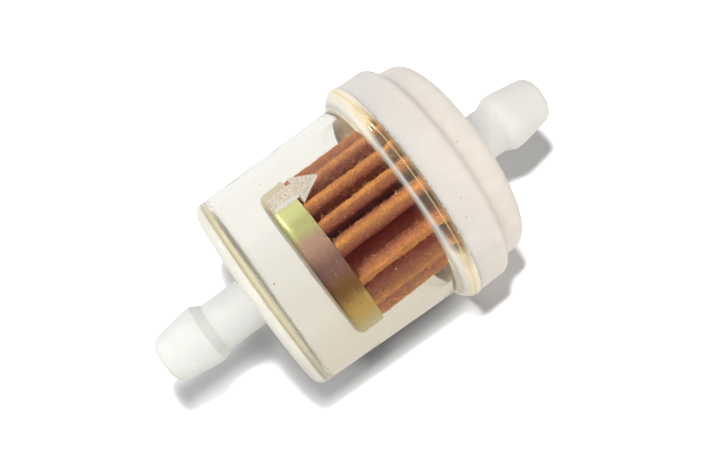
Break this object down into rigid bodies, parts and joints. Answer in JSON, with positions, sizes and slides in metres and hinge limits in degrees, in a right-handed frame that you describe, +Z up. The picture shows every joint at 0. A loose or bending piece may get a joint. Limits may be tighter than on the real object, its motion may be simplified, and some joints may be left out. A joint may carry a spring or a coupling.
{
  "type": "in-line fuel filter",
  "caption": "Small in-line fuel filter: clear cup with hose barb and raised flow arrow, white stepped outlet cap with hose barb, and a pleated paper element with plated steel ends inside.",
  "frame": {"origin": "on the flow axis, half-way between the two hose tips", "axes": "+X is the way the fuel flows, from the inlet barb on the clear cup to the outlet barb on the white cap; +Z goes up through the raised flow arrow"},
  "size_m": [0.064, 0.0348, 0.0348],
  "materials": {
    "clear_plastic": "clear, faintly yellow, glossy",
    "white_plastic": "milky white, satin",
    "plated_steel": "yellow chromate plating with pink and green tints",
    "filter_paper": "resin-cured, fuzzy folds",
    "bare_steel": "tinned",
    "adhesive": "cured plastisol",
    "seal_rubber": "matte"
  },
  "bodies": {
    "root": {"clear_cup": "clear_plastic", "outlet_cap": "white_plastic", "inlet_end_cap": "plated_steel", "outlet_end_ring": "plated_steel", "pleated_paper": "filter_paper", "support_tube": "bare_steel", "inlet_potting": "adhesive", "outlet_potting": "adhesive", "seal_washer": "seal_rubber"}
  },
  "joints": []
}
